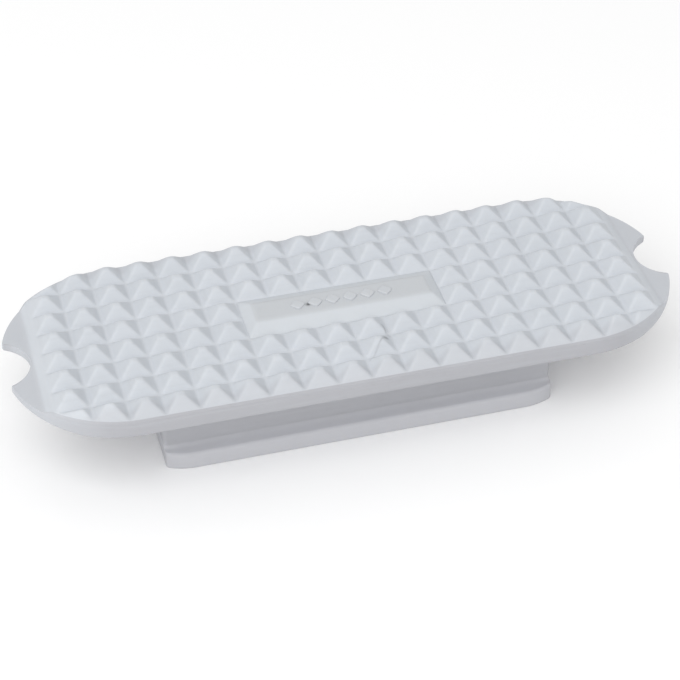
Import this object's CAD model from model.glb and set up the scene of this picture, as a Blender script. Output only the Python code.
# Looks of the stirrup tread: one moulding of white rubber, standing on its key.
#
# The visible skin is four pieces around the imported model: the studded tread plate,
# the label bar, the lozenges on it and the hollow key. Shapes are worked out in
# millimetres in the model's own frame and go into Blender in metres.
import math

import bpy
import numpy as np
from mathutils import Matrix, Vector, geometry


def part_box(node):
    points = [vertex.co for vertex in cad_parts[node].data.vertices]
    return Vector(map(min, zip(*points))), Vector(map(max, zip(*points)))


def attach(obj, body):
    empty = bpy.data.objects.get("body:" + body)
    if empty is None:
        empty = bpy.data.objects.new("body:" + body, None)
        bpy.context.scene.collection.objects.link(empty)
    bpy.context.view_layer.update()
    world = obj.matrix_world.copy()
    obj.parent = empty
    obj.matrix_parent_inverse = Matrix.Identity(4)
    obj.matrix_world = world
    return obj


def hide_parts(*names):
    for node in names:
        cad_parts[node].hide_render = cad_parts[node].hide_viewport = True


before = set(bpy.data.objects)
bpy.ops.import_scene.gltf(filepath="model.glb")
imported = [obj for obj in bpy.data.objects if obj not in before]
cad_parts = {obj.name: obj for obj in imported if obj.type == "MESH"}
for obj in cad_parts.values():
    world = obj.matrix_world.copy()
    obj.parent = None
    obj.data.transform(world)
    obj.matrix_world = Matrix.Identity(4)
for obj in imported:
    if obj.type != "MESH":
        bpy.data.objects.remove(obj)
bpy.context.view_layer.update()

MM = 0.001


# ---- Sizes, in millimetres ----

def node_box(node):
    """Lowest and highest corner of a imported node, in millimetres."""
    low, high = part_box(node)
    return np.array(low) / MM, np.array(high) / MM


plate_low, plate_high = node_box("base_plate")
pad_high = node_box("tread_pad")[1]
row_high = node_box("stud_row_2")[1]
bar_low, bar_high = node_box("label_bar")
marks_high = node_box("label_marks")[1]
wall_high = node_box("key_wall_back")[1]
lip_high = node_box("lip_back")[1]
root_low, root_high = node_box("key_root")
rib_high = node_box("key_rib")[1]

HALF_L = node_box("end_shelf_right")[1][0]
HALF_W = plate_high[1]
PLATE_Z = plate_low[2]
LEDGE_Z = plate_high[2]
TIP_Z = row_high[2]
STUD_H = 2.2
VALLEY_Z = TIP_Z - STUD_H
PAD_HALF = pad_high[1]
PAD_END = pad_high[0]
FIELD_END = row_high[0]

COLS = 18
ROWS = 8
COL_PITCH = 2 * FIELD_END / COLS
ROW_PITCH = 2 * PAD_HALF / ROWS
TIP_W = 1.1
VALLEY_W = 0.3

CORNER_R = 20.5
NOTCH_W = 11.7
NOTCH_D = 4.1
TIP_R = 0.42
TAPER_X = plate_high[0]
TAPER_RISE = 1.1

NOTCH_R = ((NOTCH_W / 2) ** 2 + NOTCH_D ** 2) / (2 * NOTCH_D)
NOTCH_X = HALF_L - NOTCH_D + NOTCH_R
CORNER_Y = HALF_W - CORNER_R
CORNER_X = HALF_L - math.sqrt(CORNER_R ** 2 - (NOTCH_W / 2 - CORNER_Y) ** 2)

BAR_L = bar_high[0]
BAR_W = bar_high[1]
BAR_TOP = bar_high[2]
BAR_END_SLOPE = 2.2
BAR_SIDE_SLOPE = 3.0

RELIEF_STEP = 0.1  # Spacing of the sampled heights
RELIEF_SOFT = 0.22  # Softness of the studs' edges
GRID_PER_PITCH = 24  # Mesh cells per stud
OUTLINE_STEP = 0.25
UNDERSIDE_STEP = 2.0
FIELD_INSET = 0.36  # From the outline to where the studded field's mesh begins
BAR_SEAT = 0.35  # How far the pad dips under the label bar
BAR_OVERLAP = 0.5

# Tone per vertex, from 0 for the material's own colour to 1 for its wall colour
SHELF_TONE = 0.38
OUTER_ROW_TONE = 0.32
END_WALL_TONE = 0.4
LIP_FACE_TONE = 0.55


# ---- Small geometry helpers ----

def polar(centre, radius, angle):
    """Points at the given angles on a circle, as an n x 2 array."""
    angle = np.atleast_1d(angle)
    return np.stack([centre[0] + radius * np.cos(angle), centre[1] + radius * np.sin(angle)], axis=1)


def steps(length, spacing):
    """How many samples a stretch of this length takes."""
    return max(2, int(math.ceil(length / spacing)))


def centred(half, spacing):
    """Coordinates at a spacing from -half to half, through zero."""
    count = int(half / spacing)
    return np.arange(-count, count + 1) * spacing


def four_quarters(quarter):
    """A closed loop from its first quarter, which runs from the X axis to the Y axis."""
    back_left = quarter[::-1] * [-1, 1]
    front_right = quarter[::-1] * [1, -1]
    return np.concatenate([quarter, back_left[1:], -quarter[1:], front_right[1:-1]])


def loop_normals(points):
    """Outward normals of a closed counter-clockwise loop."""
    along = np.roll(points, -1, axis=0) - np.roll(points, 1, axis=0)
    normal = np.stack([along[:, 1], -along[:, 0]], axis=1)
    return normal / np.linalg.norm(normal, axis=1, keepdims=True)


def inside_loop(points, loop):
    """True for the points that lie inside a closed loop."""
    result = np.zeros(len(points), bool)
    x, y = points[:, 0], points[:, 1]
    for (x0, y0), (x1, y1) in zip(loop, np.roll(loop, -1, axis=0)):
        if y0 == y1:
            continue
        crosses = (y0 > y) != (y1 > y)
        result ^= crosses & (x < (x1 - x0) * (y - y0) / (y1 - y0) + x0)
    return result


def triangulate(points, edges, outer, holes):
    """Triangles between the points that keep the edges, inside outer and outside every hole."""
    found = geometry.delaunay_2d_cdt([Vector(p) for p in points], edges, [], 0, 1e-7)
    origin = [ids[0] for ids in found[3]]
    triangles = np.array([[origin[i] for i in face] for face in found[2]])
    centre = points[triangles].mean(axis=1)
    keep = inside_loop(centre, outer)
    for hole in holes:
        keep &= ~inside_loop(centre, hole)
    return triangles[keep]


def ring_edges(first, count):
    """The edges of a closed ring of vertices."""
    return [(first + k, first + (k + 1) % count) for k in range(count)]


def ring_faces(lower, upper, count):
    """Quads between two rings, facing outward when upper lies above lower."""
    return [(lower + k, lower + (k + 1) % count, upper + (k + 1) % count, upper + k)
            for k in range(count)]


class MeshParts:
    """Gathers vertices and faces of one closed piece."""

    def __init__(self):
        self.vertices = []
        self.faces = []
        self.tones = []
        self.count = 0

    def add(self, points, tone=0.0):
        """Adds points and returns the number of the first one."""
        first = self.count
        self.vertices.append(np.asarray(points, float))
        self.tones.append(np.broadcast_to(tone, len(points)))
        self.count += len(points)
        return first

    def ring(self, outline, z, tone=0.0):
        """Adds a loop at a height, or at one height per point."""
        return self.add(np.column_stack([outline, np.broadcast_to(z, len(outline))]), tone)

    def loft(self, rings, count):
        """Joins rings, listed from the lowest to the highest, by quads."""
        for lower, upper in zip(rings, rings[1:]):
            self.faces += ring_faces(lower, upper, count)

    def points(self):
        return np.concatenate(self.vertices)

    def build(self, name, material):
        """Makes the Blender object, in metres, with smooth shading."""
        mesh = bpy.data.meshes.new(name)
        mesh.from_pydata((self.points() * MM).tolist(), [], self.faces)
        mesh.update()
        mesh.shade_smooth()
        mesh.materials.append(material)
        store(mesh, "tone", np.concatenate(self.tones))
        obj = bpy.data.objects.new(name, mesh)
        bpy.context.scene.collection.objects.link(obj)
        return obj


def store(mesh, name, values):
    """Keeps one number per vertex for the material to read."""
    mesh.attributes.new(name, "FLOAT", "POINT").data.foreach_set("value", values)


def blur(field, sigma):
    """Gaussian blur of a sampled relief. sigma is in samples."""
    reach = int(math.ceil(3 * sigma))
    weights = np.exp(-0.5 * (np.arange(-reach, reach + 1) / sigma) ** 2)
    weights /= weights.sum()
    for axis in (0, 1):
        field = sum(w * np.roll(field, k, axis=axis) for w, k in zip(weights, range(-reach, reach + 1)))
    return field


class Relief:
    """Heights over the XY plane, sampled on a fine grid and read between its samples."""

    def __init__(self, half_x, half_y, height, soft):
        self.xs = np.arange(-half_x, half_x + RELIEF_STEP, RELIEF_STEP)
        self.ys = np.arange(-half_y, half_y + RELIEF_STEP, RELIEF_STEP)
        x, y = np.meshgrid(self.xs, self.ys, indexing="ij")
        self.z = blur(height(x, y), soft / RELIEF_STEP)

    def at(self, points):
        u = np.clip((points[:, 0] - self.xs[0]) / RELIEF_STEP, 0, len(self.xs) - 2)
        v = np.clip((points[:, 1] - self.ys[0]) / RELIEF_STEP, 0, len(self.ys) - 2)
        i, j = np.floor(u).astype(int), np.floor(v).astype(int)
        fu, fv = u - i, v - j
        z = self.z
        return ((z[i, j] * (1 - fu) + z[i + 1, j] * fu) * (1 - fv)
                + (z[i, j + 1] * (1 - fu) + z[i + 1, j + 1] * fu) * fv)


# ---- Materials ----

class Nodes:
    """Short calls for building one material's node tree."""

    def __init__(self, name):
        self.material = bpy.data.materials.new(name)
        self.material.use_nodes = True
        self.tree = self.material.node_tree
        self.shader = self.tree.nodes["Principled BSDF"]

    def new(self, kind, inputs=None, **settings):
        node = self.tree.nodes.new(kind)
        for key, value in settings.items():
            setattr(node, key, value)
        for key, value in (inputs or {}).items():
            if isinstance(value, bpy.types.NodeSocket):
                self.tree.links.new(value, node.inputs[key])
            else:
                node.inputs[key].default_value = value
        return node

    def noise(self, vector, scale, detail=3.0, rough=0.5):
        return self.new("ShaderNodeTexNoise", {"Vector": vector, "Scale": scale, "Detail": detail,
                                               "Roughness": rough}).outputs["Fac"]

    def remap(self, value, low, high, to_low=0.0, to_high=1.0):
        return self.new("ShaderNodeMapRange", {"Value": value, "From Min": low, "From Max": high,
                                               "To Min": to_low, "To Max": to_high}).outputs["Result"]

    def calc(self, operation, first, second):
        return self.new("ShaderNodeMath", {0: first, 1: second}, operation=operation).outputs[0]

    def mix(self, factor, first, second):
        node = self.new("ShaderNodeMix", data_type="RGBA")
        for socket, value in ((node.inputs[0], factor), (node.inputs[6], first), (node.inputs[7], second)):
            if isinstance(value, bpy.types.NodeSocket):
                self.tree.links.new(value, socket)
            elif hasattr(value, "__len__"):
                socket.default_value = (*value, 1.0)
            else:
                socket.default_value = value
        return node.outputs[2]

    def drive(self, key, output):
        self.tree.links.new(output, self.shader.inputs[key])


def rubber(name, colour, shade, streaks=0.0, wall=None, marks=False):
    """Matt moulded rubber: mottled tone, fine grain, a trace of bloom, soft roughness changes."""
    n = Nodes(name)
    place = n.new("ShaderNodeTexCoord").outputs["Object"]
    clouds = n.remap(n.noise(place, 55.0, 4.0), 0.35, 0.68)
    specks = n.remap(n.noise(place, 650.0, 2.0), 0.52, 0.74)
    tone = n.calc("ADD", n.calc("MULTIPLY", clouds, 0.5), n.calc("MULTIPLY", specks, 0.35))
    base = n.mix(tone, colour, shade)
    if wall:
        smooth = n.new("ShaderNodeAttribute", attribute_name="tone").outputs["Fac"]
        base = n.mix(smooth, base, n.mix(tone, wall, [c * 0.95 for c in wall]))
    stretched = n.new("ShaderNodeMapping", {"Vector": place, "Scale": (0.06, 0.06, 1.0)}).outputs["Vector"]
    lines = n.remap(n.noise(stretched, 1500.0, 3.0), 0.48, 0.72)
    if streaks:
        darker = [c * 0.86 for c in shade]
        base = n.mix(n.calc("MULTIPLY", lines, streaks), base, darker)
    if marks:
        mark = n.new("ShaderNodeAttribute", attribute_name="marks").outputs["Fac"]
        base = n.mix(mark, base, (0.028, 0.026, 0.026))
    n.drive("Base Color", base)
    grain = n.noise(place, 2600.0, 3.0, 0.6)
    pits = n.noise(place, 420.0, 2.0)
    relief = n.calc("ADD", n.calc("MULTIPLY", grain, 0.35), pits)
    if streaks:
        relief = n.calc("ADD", relief, n.calc("MULTIPLY", lines, 0.5 * streaks))
    bump = n.new("ShaderNodeBump", {"Height": relief, "Strength": 0.35, "Distance": 0.00012})
    n.drive("Normal", bump.outputs["Normal"])
    n.drive("Roughness", n.remap(n.noise(place, 180.0, 3.0), 0.3, 0.7, 0.52, 0.72))
    n.shader.inputs["Specular IOR Level"].default_value = 0.32
    n.shader.inputs["Subsurface Weight"].default_value = 0.12
    n.shader.inputs["Subsurface Radius"].default_value = (0.0011, 0.001, 0.0009)
    n.shader.inputs["Subsurface Scale"].default_value = 1.0
    return n.material


TREAD_RUBBER = rubber("white_rubber_tread", (0.58, 0.606, 0.642), (0.556, 0.584, 0.618), 0.2,
                      wall=(0.42, 0.424, 0.45), marks=True)
LABEL_RUBBER = rubber("white_rubber_label", (0.585, 0.612, 0.642), (0.565, 0.59, 0.618),
                      wall=(0.53, 0.55, 0.573), marks=True)
MARK_RUBBER = rubber("white_rubber_marks", (0.545, 0.565, 0.59), (0.525, 0.545, 0.57))
KEY_RUBBER = rubber("white_rubber_key", (0.60, 0.605, 0.635), (0.583, 0.588, 0.618), 0.25,
                    wall=(0.455, 0.46, 0.487))


# ---- Tread plate ----

def plate_outline():
    """The plate's plan with its notches, as points and outward normals, counter-clockwise."""
    notch, corner = np.array([NOTCH_X, 0.0]), np.array([CORNER_X, CORNER_Y])
    # The rounded tip touches the notch's circle from outside and the corner arc from inside
    span = np.linalg.norm(notch - corner)
    from_notch, from_corner = NOTCH_R + TIP_R, CORNER_R - TIP_R
    reach = (span ** 2 + from_corner ** 2 - from_notch ** 2) / (2 * span)
    along = (notch - corner) / span
    across = np.array([-along[1], along[0]])
    tip = corner + reach * along + math.sqrt(from_corner ** 2 - reach ** 2) * across
    notch_end = math.atan2(tip[1] - notch[1], tip[0] - notch[0])
    tip_start = notch_end - math.pi
    tip_end = math.atan2(tip[1] - corner[1], tip[0] - corner[0])

    def arc(centre, radius, start, end, sign, spacing=OUTLINE_STEP):
        angle = np.linspace(start, end, steps(abs(end - start) * radius, spacing) + 1)[:-1]
        return polar(centre, radius, angle), sign * polar((0, 0), 1, angle)

    side_x = np.linspace(CORNER_X, 0, steps(CORNER_X, OUTLINE_STEP) + 1)
    side = np.column_stack([side_x, np.full(len(side_x), HALF_W)])
    stretches = [arc(notch, NOTCH_R, math.pi, notch_end, -1),
                 arc(tip, TIP_R, tip_start, tip_end, 1, 0.12),
                 arc(corner, CORNER_R, tip_end, math.pi / 2, 1),
                 (side, np.tile([0.0, 1.0], (len(side), 1)))]
    quarter = np.concatenate([s[0] for s in stretches])
    normals = np.concatenate([s[1] for s in stretches])
    return four_quarters(quarter), four_quarters(normals)


def stud_heights(x, y):
    """Height of the top: shelves, end slopes and studs, each a little uneven and worn."""
    rng = np.random.default_rng(11)
    apex_x = rng.normal(0, 0.06, (COLS, ROWS))
    apex_y = rng.normal(0, 0.05, (COLS, ROWS))
    worn = np.abs(rng.normal(0, 0.06, (COLS, ROWS)))
    ground = np.interp(np.abs(x), [FIELD_END + 0.1, PAD_END], [VALLEY_Z, LEDGE_Z])
    col = np.clip(((x + FIELD_END) / COL_PITCH).astype(int), 0, COLS - 1)
    row = np.clip(((y + PAD_HALF) / ROW_PITCH).astype(int), 0, ROWS - 1)
    u = x + FIELD_END - (col + 0.5) * COL_PITCH
    v = y + PAD_HALF - (row + 0.5) * ROW_PITCH
    u = u - apex_x[col, row] * (1 - np.abs(u) / (COL_PITCH / 2))
    v = v - apex_y[col, row] * (1 - np.abs(v) / (ROW_PITCH / 2))
    col_ramp = (COL_PITCH / 2 - VALLEY_W / 2 - np.abs(u)) / (COL_PITCH / 2 - VALLEY_W / 2 - TIP_W / 2)
    row_ramp = (ROW_PITCH / 2 - VALLEY_W / 2 - np.abs(v)) / (ROW_PITCH / 2 - VALLEY_W / 2 - TIP_W / 2)
    from_corner = np.hypot(np.maximum(np.abs(x) - CORNER_X, 0), np.maximum(np.abs(y) - CORNER_Y, 0))
    field_r = CORNER_R - (HALF_W - PAD_HALF) - VALLEY_W / 2
    edge_ramp = (field_r - from_corner) / (ROW_PITCH / 2 - VALLEY_W / 2 - TIP_W / 2)
    ramp = np.minimum(np.minimum(col_ramp, row_ramp), edge_ramp)
    stud = np.clip(ramp * STUD_H, 0, STUD_H - worn[col, row])
    stud[np.abs(x) > FIELD_END] = 0
    # The pad dips under the label bar, which is a piece of its own
    stud[(np.abs(x) < BAR_L) & (np.abs(y) < BAR_W)] = 0
    stud[(np.abs(x) < BAR_L - BAR_OVERLAP) & (np.abs(y) < BAR_W - BAR_OVERLAP)] = -BAR_SEAT
    sway = 0.02 * np.sin(x * 0.21 + 1.3) * np.sin(y * 0.33 + 0.4)
    return np.minimum(ground + stud + sway, TIP_Z)


MARK_LINES = [  # Short dark marks on the studs: start, end, half width, strength
    ((4.5, -13.0), (3.2, -14.2), 0.14, 0.3),
    ((3.2, -14.2), (1.9, -15.6), 0.13, 0.2),
    ((1.9, -15.6), (0.5, -17.2), 0.12, 0.14),
    ((4.3, -13.1), (4.8, -12.8), 0.28, 0.5),
    ((5.1, -8.6), (5.3, -10.3), 0.18, 0.35),
    ((5.3, -10.3), (5.6, -11.6), 0.16, 0.22),
]
BAR_SPOT = ((-6.2, -0.3), (-6.1, -0.3), 0.4, 0.9)


def add_marks(obj, lines):
    """Stores how strongly each vertex is marked, for the material."""
    points = np.empty(len(obj.data.vertices) * 3)
    obj.data.vertices.foreach_get("co", points)
    xy = points.reshape(-1, 3)[:, :2] / MM
    strength = np.zeros(len(xy))
    for start, end, half_width, level in lines:
        start, end = np.array(start), np.array(end)
        along = np.clip((xy - start) @ (end - start) / ((end - start) @ (end - start)), 0, 1)
        gap = np.linalg.norm(xy - start - along[:, None] * (end - start), axis=1)
        strength = np.maximum(strength, level * np.exp(-(gap / half_width) ** 2))
    strength[points.reshape(-1, 3)[:, 2] < VALLEY_Z * MM - MM] = 0
    store(obj.data, "marks", strength)


def underside(x):
    """Height of the plate's underside, which slopes up towards both tips."""
    beyond = np.maximum(np.abs(x) - TAPER_X, 0)
    return PLATE_Z + TAPER_RISE * beyond / (HALF_L - TAPER_X)


def top_tone(points):
    """Tone of the top: the shelves and the outer slopes of the outer rows are a little darker."""
    shelf = np.clip((np.abs(points[:, 0]) - PAD_END) / 0.5 + 1, 0, 1)
    outer = np.clip((np.abs(points[:, 1]) - PAD_HALF + ROW_PITCH / 2 + 0.3) / 1.2, 0, 1)
    return np.maximum(SHELF_TONE * shelf, OUTER_ROW_TONE * outer)


def tread_plate():
    """The closed skin of the plate: studded field, ledge, wall and underside."""
    relief = Relief(HALF_L + 1, HALF_W + 1, stud_heights, RELIEF_SOFT)
    outline, normals = plate_outline()
    count = len(outline)
    parts = MeshParts()

    # Field: whole grid cells well inside the outline, then triangles out to it
    half_columns = (COLS // 2 + 2) * GRID_PER_PITCH
    half_rows = ROWS // 2 * GRID_PER_PITCH
    columns = np.arange(-half_columns, half_columns + 1) * COL_PITCH / GRID_PER_PITCH
    rows = np.arange(-half_rows, half_rows + 1) * ROW_PITCH / GRID_PER_PITCH
    x, y = np.meshgrid(columns, rows, indexing="ij")
    from_corner = np.hypot(np.maximum(np.abs(x) - CORNER_X, 0), np.maximum(np.abs(y) - CORNER_Y, 0))
    from_notch = np.hypot(np.abs(x) - NOTCH_X, y)
    margin = FIELD_INSET + 0.6 * OUTLINE_STEP
    held = (from_corner < CORNER_R - margin) & (from_notch > NOTCH_R + margin)
    cells = held[:-1, :-1] & held[1:, :-1] & held[:-1, 1:] & held[1:, 1:]
    corners = np.zeros(held.shape, bool)
    for dx in (0, 1):
        for dy in (0, 1):
            corners[dx:dx + cells.shape[0], dy:dy + cells.shape[1]] |= cells
    number = np.full(held.shape, -1)
    number[corners] = np.arange(corners.sum())
    grid = np.column_stack([x[corners], y[corners]])
    first_grid = parts.add(np.column_stack([grid, relief.at(grid)]), top_tone(grid))
    i, j = np.nonzero(cells)
    quads = np.column_stack([number[i, j], number[i + 1, j], number[i + 1, j + 1], number[i, j + 1]])
    parts.faces += (quads + first_grid).tolist()

    field_edge = outline - FIELD_INSET * normals
    field_top = relief.at(field_edge)
    first_edge = parts.ring(field_edge, field_top, top_tone(field_edge))
    sides = np.concatenate([quads[:, [a, b]] for a, b in ((0, 1), (1, 2), (2, 3), (3, 0))])
    known, where, seen = np.unique(np.sort(sides, axis=1), axis=0, return_index=True, return_counts=True)
    border = known[seen == 1]
    used, local = np.unique(border, return_inverse=True)
    band = np.concatenate([field_edge, grid[used]])
    border_edges = [(int(a) + count, int(b) + count) for a, b in local.reshape(border.shape)]
    triangles = triangulate(band, ring_edges(0, count) + border_edges, field_edge, [])
    inner = np.concatenate([np.arange(count) + first_edge, used + first_grid])
    centre = band[triangles].mean(axis=1)
    cell_i = np.floor((centre[:, 0] - columns[0]) / (columns[1] - columns[0])).astype(int)
    cell_j = np.floor((centre[:, 1] - rows[0]) / (rows[1] - rows[0])).astype(int)
    on_grid = ((cell_i >= 0) & (cell_i < cells.shape[0]) & (cell_j >= 0) & (cell_j < cells.shape[1]))
    filled = np.zeros(len(centre), bool)
    filled[on_grid] = cells[cell_i[on_grid], cell_j[on_grid]]
    parts.faces += inner[triangles[~filled]].tolist()

    # Edge: pad wall, ledge, plate wall and rounded lower edge, from the bottom up
    step = np.interp(np.abs(field_edge[:, 0]), [FIELD_END + 0.2, PAD_END], [VALLEY_Z - LEDGE_Z, 0])
    low = underside(outline[:, 0])
    wall_z = low + 0.46
    lower = [(0.35, low), (0.22, low + 0.03), (0.11, low + 0.12), (0.03, low + 0.27), (0.0, wall_z)]
    lower += [(0.0, wall_z + share * (LEDGE_Z - 0.29 - wall_z)) for share in (0.2, 0.4, 0.6, 0.8, 1.0)]
    upper = [(0.03, LEDGE_Z - 0.12), (0.08, LEDGE_Z - 0.03), (0.14, LEDGE_Z), (0.2, LEDGE_Z + 0.06 * step),
             (0.235, LEDGE_Z + 0.2 * step), (0.25, LEDGE_Z + 0.5 * step), (0.26, LEDGE_Z + 0.82 * step)]
    top = [(0.28, LEDGE_Z + 0.94 * step), (0.32, LEDGE_Z + step - 0.01)]
    # The ledge fades along the front and back from left to right, as the mould's parting line does
    fade = np.interp(outline[:, 0], [-30, 20], [0.3, 0.12])[:, None]
    # The wall has the walls' tone along the sides and comes closer to the shelves' around the ends
    wall_tone = 1 - (1 - END_WALL_TONE) * np.clip((np.abs(normals[:, 0]) - 0.25) / 0.5, 0, 1)
    rings = []
    for stretch, scale in ((lower, 1), (upper, fade), (top, 1)):
        rings += [parts.ring(outline - inset * scale * normals, z, wall_tone) for inset, z in stretch]
    rings.append(first_edge)
    parts.loft(rings, count)

    # Underside, with a coarse grid so that its ends can slope
    rim = outline - lower[0][0] * normals
    loose = np.stack(np.meshgrid(centred(HALF_L, UNDERSIDE_STEP), centred(HALF_W, UNDERSIDE_STEP),
                                 indexing="ij"), -1).reshape(-1, 2)
    loose = loose[inside_loop(loose, outline - 0.6 * UNDERSIDE_STEP * normals)]
    first_loose = parts.add(np.column_stack([loose, underside(loose[:, 0])]), 1.0)
    triangles = triangulate(np.concatenate([rim, loose]), ring_edges(0, count), rim, [])
    below = np.concatenate([np.arange(count) + rings[0], np.arange(len(loose)) + first_loose])
    parts.faces += below[triangles[:, ::-1]].tolist()

    obj = parts.build("tread_plate_skin", TREAD_RUBBER)
    add_marks(obj, MARK_LINES)
    return obj


# ---- Label bar ----

def bar_heights(x, y):
    """Height of the label bar, whose sides and ends slope down to the stud valleys."""
    rise = BAR_TOP - VALLEY_Z
    ends = (BAR_L - np.abs(x)) / BAR_END_SLOPE
    sides = (BAR_W - np.abs(y)) / BAR_SIDE_SLOPE
    sag = 0.03 * np.exp(-(x / 9) ** 2 - (y / 1.8) ** 2)
    return VALLEY_Z + rise * np.clip(np.minimum(ends, sides), -0.06, 1) - sag


def label_bar():
    """The closed skin of the bar, sunk a little into the plate."""
    relief = Relief(BAR_L + 1, BAR_W + 1, bar_heights, 0.2)
    columns = np.linspace(-BAR_L, BAR_L, 145)
    rows = np.linspace(-BAR_W, BAR_W, 45)
    x, y = np.meshgrid(columns, rows, indexing="ij")
    points = np.column_stack([x.ravel(), y.ravel()])
    parts = MeshParts()
    height = relief.at(points)
    first = parts.add(np.column_stack([points, height]), np.clip((height - BAR_TOP + 0.3) / 0.2, 0, 1))
    number = np.arange(len(points)).reshape(x.shape) + first
    parts.faces += np.stack([number[:-1, :-1], number[1:, :-1], number[1:, 1:], number[:-1, 1:]],
                            -1).reshape(-1, 4).tolist()
    rim = np.concatenate([number[:-1, 0], number[-1, :-1], number[:0:-1, -1], number[0, :0:-1]])
    bottom = parts.ring(points[rim - first], bar_low[2] + 0.05)
    count = len(rim)
    parts.faces += [(bottom + k, bottom + (k + 1) % count, int(rim[(k + 1) % count]), int(rim[k]))
                    for k in range(count)]
    parts.faces.append(tuple(bottom + k for k in range(count))[::-1])
    obj = parts.build("label_bar_skin", LABEL_RUBBER)
    add_marks(obj, [BAR_SPOT])
    return obj


MARK_L = 2.6
MARKS = 6


def label_marks(mark_count):
    """A row of plain soft-edged lozenges."""
    length = MARK_L / 2
    width = marks_high[1]
    rise = marks_high[2] - BAR_TOP
    pitch = (marks_high[0] - length) * 2 / (mark_count - 1)
    around = np.linspace(0, 2 * math.pi, 48, endpoint=False)
    power = 2 / 1.25
    lozenge = np.column_stack([
        length * np.sign(np.cos(around)) * np.abs(np.cos(around)) ** power,
        width * np.sign(np.sin(around)) * np.abs(np.sin(around)) ** power])
    profile = [(1.0, -0.15), (1.0, rise * 0.35), (0.97, rise * 0.65), (0.9, rise * 0.87),
               (0.78, rise * 0.97), (0.4, rise)]
    parts = MeshParts()
    count = len(lozenge)
    for k in range(mark_count):
        shift = [(k - (mark_count - 1) / 2) * pitch, 0]
        rings = [parts.ring(lozenge * scale + shift, BAR_TOP + z) for scale, z in profile]
        parts.loft(rings, count)
        parts.faces.append(tuple(rings[-1] + i for i in range(count)))
        parts.faces.append(tuple(rings[0] + i for i in range(count))[::-1])
    return parts.build("label_lozenges", MARK_RUBBER)


# ---- Key ----

KEY_CORNER_BACK = 1.4
KEY_CORNER_RUN = 5.3
KEY_EDGE_R = 0.8
LIP_FACE_H = 3.4
LIP_EDGE_R = 0.7
END_FACE_POINTS = 28
EDGE_POINTS = 11
SIDE_POINTS = 69
HOLLOW_R = 1.0

key_x = wall_high[0]
neck_y = wall_high[1]
key_y = lip_high[1]
lip_top = lip_high[2]
hollow_x = root_high[0]
hollow_y = root_high[1]
hollow_z = root_low[2]
rib_x = rib_high[0]


def end_face(edge_y):
    """Points on the key's end face, from the middle to its rounded edge."""
    return np.column_stack([np.full(END_FACE_POINTS, key_x), np.linspace(0, edge_y, END_FACE_POINTS)])


def lip_quarter():
    """First quarter of the key's plan over its lips, which curve back to the corners."""
    curve_r = (KEY_CORNER_RUN ** 2 + KEY_CORNER_BACK ** 2) / (2 * KEY_CORNER_BACK)
    centre = np.array([key_x - KEY_CORNER_RUN, key_y - curve_r])
    edge_x = key_x - KEY_EDGE_R
    edge_y = centre[1] + math.sqrt((curve_r - KEY_EDGE_R) ** 2 - (edge_x - centre[0]) ** 2)
    turn = math.atan2(edge_y - centre[1], edge_x - centre[0])
    edge = polar((edge_x, edge_y), KEY_EDGE_R, np.linspace(0, turn, EDGE_POINTS + 1)[1:])
    side_x = np.linspace(edge[-1][0], 0, SIDE_POINTS + 1)[1:]
    fall = np.sqrt(curve_r ** 2 - np.maximum(side_x - centre[0], 0) ** 2)
    return np.concatenate([end_face(edge_y), edge, np.column_stack([side_x, centre[1] + fall])])


def neck_quarter():
    """First quarter of the neck's plan, with as many points as the lips' plan."""
    edge_x, edge_y = key_x - KEY_EDGE_R, neck_y - KEY_EDGE_R
    edge = polar((edge_x, edge_y), KEY_EDGE_R, np.linspace(0, math.pi / 2, EDGE_POINTS + 1)[1:])
    side_x = np.linspace(edge[-1][0], 0, SIDE_POINTS + 1)[1:]
    side = np.column_stack([side_x, np.full(SIDE_POINTS, neck_y)])
    return np.concatenate([end_face(edge_y), edge, side])


def key_levels():
    """Height, inset and share of the neck's plan of each ring, from the bottom up."""
    rows = [(0.0, 0.25, 0), (0.03, 0.14, 0), (0.09, 0.06, 0), (0.18, 0.015, 0), (0.3, 0.0, 0)]
    rows += [(z, 0.0, 0) for z in (1.0, 1.5, 2.0, LIP_FACE_H - LIP_EDGE_R)]
    # The lip's outer top edge is round, and its nearly flat top steepens into the neck
    start = LIP_EDGE_R / (key_y - neck_y)
    for turn in np.linspace(0, math.pi / 2, 8)[1:]:
        rows.append((LIP_FACE_H - LIP_EDGE_R * (1 - math.sin(turn)), 0.0, start * (1 - math.cos(turn))))
    for share in (0.15, 0.3, 0.45, 0.6, 0.72, 0.82, 0.9, 0.95, 0.98, 1.0):
        rows.append((LIP_FACE_H + (lip_top - LIP_FACE_H) * (0.25 * share + 0.75 * share ** 4), 0.0,
                     start + (1 - start) * share))
    rows += [(z, 0.0, 1) for z in np.linspace(lip_top + 0.7, PLATE_Z - 1.2, 9)]
    rows += [(PLATE_Z - 0.5, 0, 1), (PLATE_Z - 0.28, -0.04, 1), (PLATE_Z - 0.12, -0.13, 1),
             (PLATE_Z - 0.02, -0.3, 1), (PLATE_Z + 0.25, -0.34, 1)]
    return rows


def rounded_rectangle(x0, x1, y0, y1, radius, grow=0.0):
    """A counter-clockwise loop with the same number of points whatever it grows by."""
    radius += grow
    x0, x1, y0, y1 = x0 - grow, x1 + grow, y0 - grow, y1 + grow
    loop = []
    for cx, cy, start in ((x1 - radius, y1 - radius, 0), (x0 + radius, y1 - radius, 0.5),
                          (x0 + radius, y0 + radius, 1), (x1 - radius, y0 + radius, 1.5)):
        loop.append(polar((cx, cy), radius, np.linspace(start, start + 0.5, 9) * math.pi))
    return np.concatenate(loop)


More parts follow.
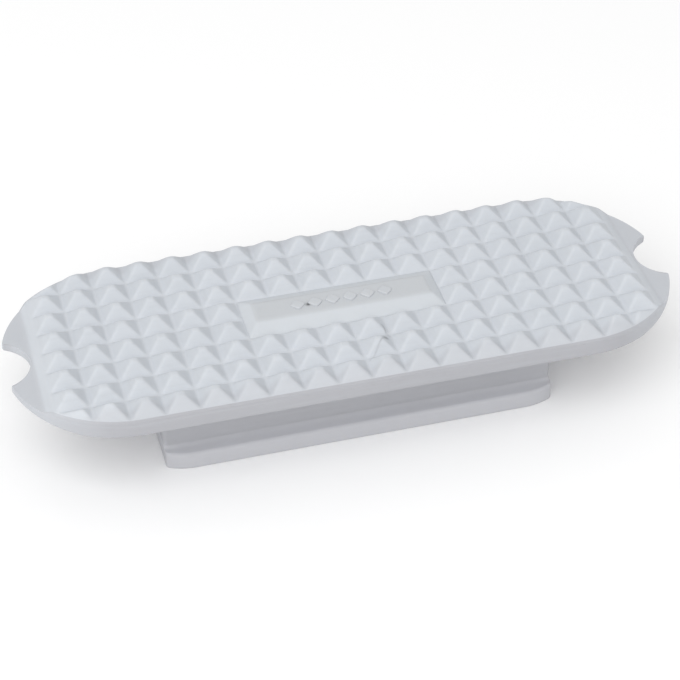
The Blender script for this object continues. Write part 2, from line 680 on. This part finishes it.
def key():
    """The closed skin of the hollow key with its lips and middle rib."""
    over_lips, over_neck = lip_quarter(), neck_quarter()
    parts = MeshParts()
    rings = []
    for z, inset, share in key_levels():
        loop = four_quarters(over_lips + (over_neck - over_lips) * share)
        loop = loop - inset * loop_normals(loop)
        # The lips' faces are a little darker than their tops, and the neck is darkest
        rings.append(parts.ring(loop, z, max(LIP_FACE_TONE * (1 - share / 0.3), 0) + share ** 12))
        if z == 0:
            rim = loop
    count = len(rim)
    parts.loft(rings, count)
    parts.faces.append(tuple(rings[-1] + k for k in range(count)))

    floor_points, floor_ids = [rim], [np.arange(count) + rings[0]]
    floor_edges, holes = ring_edges(0, count), []
    for side in (-1, 1):
        x0, x1 = sorted((side * rib_x, side * hollow_x))
        levels = [(0.0, 0.4), (0.04, 0.22), (0.15, 0.08), (0.4, 0.0)]
        levels += [(z, 0.0) for z in np.linspace(1.5, hollow_z - 1.2, 6)]
        levels += [(hollow_z - 0.6, 0.0), (hollow_z - 0.3, -0.06), (hollow_z - 0.08, -0.25),
                   (hollow_z, -0.55)]
        loops = [rounded_rectangle(x0, x1, -hollow_y, hollow_y, HOLLOW_R, grow) for z, grow in levels]
        size = len(loops[0])
        inner = [parts.ring(loop, z) for loop, (z, grow) in zip(loops, levels)]
        for lower, upper in zip(inner, inner[1:]):
            parts.faces += [face[::-1] for face in ring_faces(lower, upper, size)]
        parts.faces.append(tuple(inner[-1] + k for k in range(size))[::-1])
        offset = sum(len(p) for p in floor_points)
        floor_edges += ring_edges(offset, size)
        floor_points.append(loops[0])
        floor_ids.append(np.arange(size) + inner[0])
        holes.append(loops[0])
    flat = np.concatenate(floor_points)
    triangles = triangulate(flat, floor_edges, rim, holes)
    parts.faces += np.concatenate(floor_ids)[triangles[:, ::-1]].tolist()
    return parts.build("key_skin", KEY_RUBBER)


# ---- Assembly ----

tread = tread_plate()
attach(tread, "root")
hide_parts("base_plate", "end_shelf_left", "end_shelf_right", "tread_pad",
            *[f"stud_row_{row}" for row in range(1, ROWS + 1)])

bar = label_bar()
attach(bar, "root")
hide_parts("label_bar")

lozenges = label_marks(MARKS)
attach(lozenges, "root")
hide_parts("label_marks")

key_skin = key()
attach(key_skin, "root")
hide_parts("key_root", "key_wall_front", "key_wall_back", "key_end_left", "key_end_right",
            "key_rib", "lip_front", "lip_back")


# ---- Floor, light and camera ----

def studio_floor():
    """A plain pale floor with a trace of tone in it."""
    n = Nodes("studio_floor")
    place = n.new("ShaderNodeTexCoord").outputs["Object"]
    n.drive("Base Color", n.mix(n.noise(place, 3.0, 2.0), (0.95, 0.95, 0.95), (0.97, 0.97, 0.97)))
    n.shader.inputs["Roughness"].default_value = 0.9
    n.shader.inputs["Specular IOR Level"].default_value = 0.1
    half = 2.5
    mesh = bpy.data.meshes.new("studio_floor")
    corners = [(-half, -half, 0), (half, -half, 0), (half, half, 0), (-half, half, 0)]
    mesh.from_pydata(corners, [], [(0, 1, 2, 3)])
    mesh.materials.append(n.material)
    floor = bpy.data.objects.new("studio_floor", mesh)
    bpy.context.scene.collection.objects.link(floor)


def soft_light(name, place, aim, size, power, colour=(1, 1, 1)):
    """A square soft box at a place, turned towards an aim point."""
    data = bpy.data.lights.new(name, "AREA")
    data.shape = "SQUARE"
    data.size = size
    data.energy = power
    data.color = colour
    light = bpy.data.objects.new(name, data)
    light.location = place
    light.rotation_euler = (Vector(aim) - Vector(place)).to_track_quat("-Z", "Y").to_euler()
    bpy.context.scene.collection.objects.link(light)


def studio_world(strength):
    """An even pale surround."""
    world = bpy.data.worlds.new("studio")
    world.use_nodes = True
    background = world.node_tree.nodes["Background"]
    background.inputs["Color"].default_value = (1, 1, 1, 1)
    background.inputs["Strength"].default_value = strength
    bpy.context.scene.world = world


CAMERA_AIM = (-1.311, -3.774, 13.704)
CAMERA_DISTANCE = 381.51
CAMERA_AZIMUTH = math.radians(-14.684)
CAMERA_ELEVATION = math.radians(38.567)
CAMERA_ROLL = math.radians(-0.565)
CAMERA_LENS = 113.39
SENSOR = 36.0


def product_camera():
    """A long lens looking down at the tread from its front left."""
    back = Vector((math.sin(CAMERA_AZIMUTH) * math.cos(CAMERA_ELEVATION),
                   -math.cos(CAMERA_AZIMUTH) * math.cos(CAMERA_ELEVATION),
                   math.sin(CAMERA_ELEVATION)))
    right = Vector((0, 0, 1)).cross(back).normalized()
    up = back.cross(right)
    rolled_right = math.cos(CAMERA_ROLL) * right + math.sin(CAMERA_ROLL) * up
    rolled_up = back.cross(rolled_right)
    data = bpy.data.cameras.new("product_camera")
    data.lens = CAMERA_LENS
    data.sensor_width = SENSOR
    data.clip_start = 0.01
    data.clip_end = 20.0
    camera = bpy.data.objects.new("product_camera", data)
    turn = Matrix((rolled_right, rolled_up, back)).transposed().to_4x4()
    place = (Vector(CAMERA_AIM) + CAMERA_DISTANCE * back) * MM
    camera.matrix_world = Matrix.Translation(place) @ turn
    bpy.context.scene.collection.objects.link(camera)
    bpy.context.scene.camera = camera


studio_floor()
studio_world(0.72)
soft_light("key_light", (-0.385, -0.593, 0.843), (0, 0, 0.01), 1.1, 7.8)
product_camera()
bpy.context.scene.view_settings.view_transform = "Standard"
